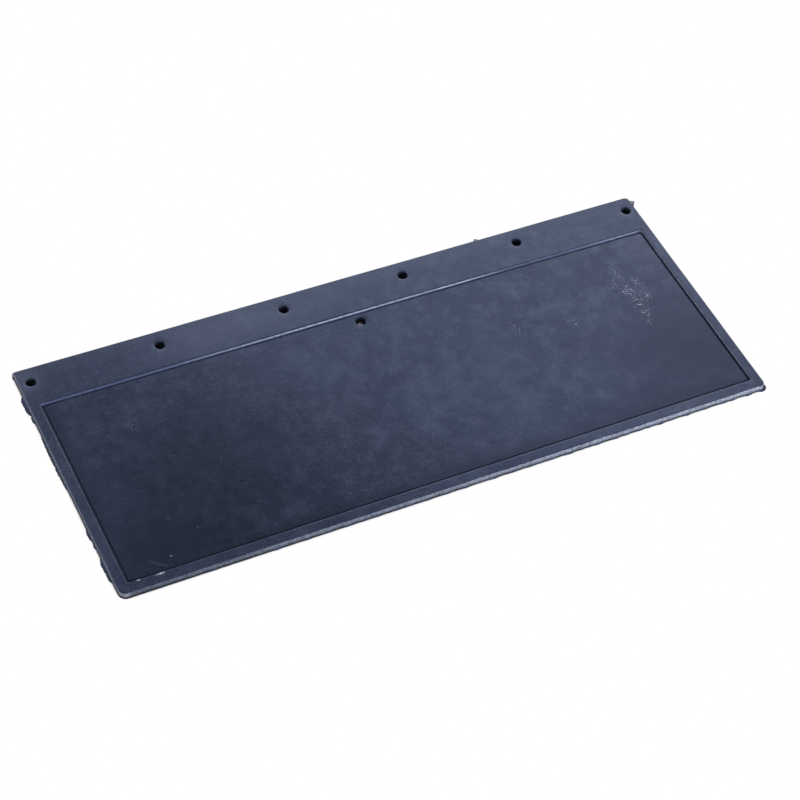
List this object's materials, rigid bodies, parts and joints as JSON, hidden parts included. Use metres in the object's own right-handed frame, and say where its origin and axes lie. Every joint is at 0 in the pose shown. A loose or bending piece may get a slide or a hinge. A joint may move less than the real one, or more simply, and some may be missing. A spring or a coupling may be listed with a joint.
{
  "type": "mud flap",
  "caption": "Flexible rectangular rubber mud flap with a thick bolted header band and a thin recessed panel framed by raised rims, which bends to swing and curl.",
  "frame": {"origin": "centre of the flap's flat back, on the surface that it lies on, midway between its side edges and between its top and bottom edges", "axes": "+X along the width, to the right seen from the front; +Y towards the header band; +Z out of the front face"},
  "size_m": [0.608, 0.2502, 0.007],
  "materials": {
    "moulded_rubber": "matt black-blue moulded rubber, slightly satin"
  },
  "bodies": {
    "header": {"header_band": "moulded_rubber", "header_flash": "moulded_rubber", "root_web": "moulded_rubber"},
    "upper": {"upper_panel": "moulded_rubber", "upper_left_rim": "moulded_rubber", "upper_right_rim": "moulded_rubber", "upper_flash": "moulded_rubber", "upper_web": "moulded_rubber"},
    "middle": {"middle_panel": "moulded_rubber", "middle_left_rim": "moulded_rubber", "middle_right_rim": "moulded_rubber", "middle_flash": "moulded_rubber", "lower_web": "moulded_rubber"},
    "lower": {"lower_panel": "moulded_rubber", "lower_left_rim": "moulded_rubber", "lower_right_rim": "moulded_rubber", "lower_flash": "moulded_rubber", "bottom_rim": "moulded_rubber"}
  },
  "joints": [
    {"name": "root_flex", "type": "hinge", "parent": "header", "child": "upper", "pos_m": [0, 0.0795, 0.0025], "axis": [-1, 0, 0], "range_deg": [-45, 45], "stiffness_Nm_per_rad": 0.4, "deforming": ["root_web"]},
    {"name": "upper_flex", "type": "hinge", "parent": "upper", "child": "middle", "pos_m": [0, 0.0147, 0.0025], "axis": [-1, 0, 0], "range_deg": [-45, 45], "stiffness_Nm_per_rad": 0.4, "deforming": ["upper_web"]},
    {"name": "lower_flex", "type": "hinge", "parent": "middle", "child": "lower", "pos_m": [0, -0.0501, 0.0025], "axis": [-1, 0, 0], "range_deg": [-45, 45], "stiffness_Nm_per_rad": 0.4, "deforming": ["lower_web"]}
  ]
}
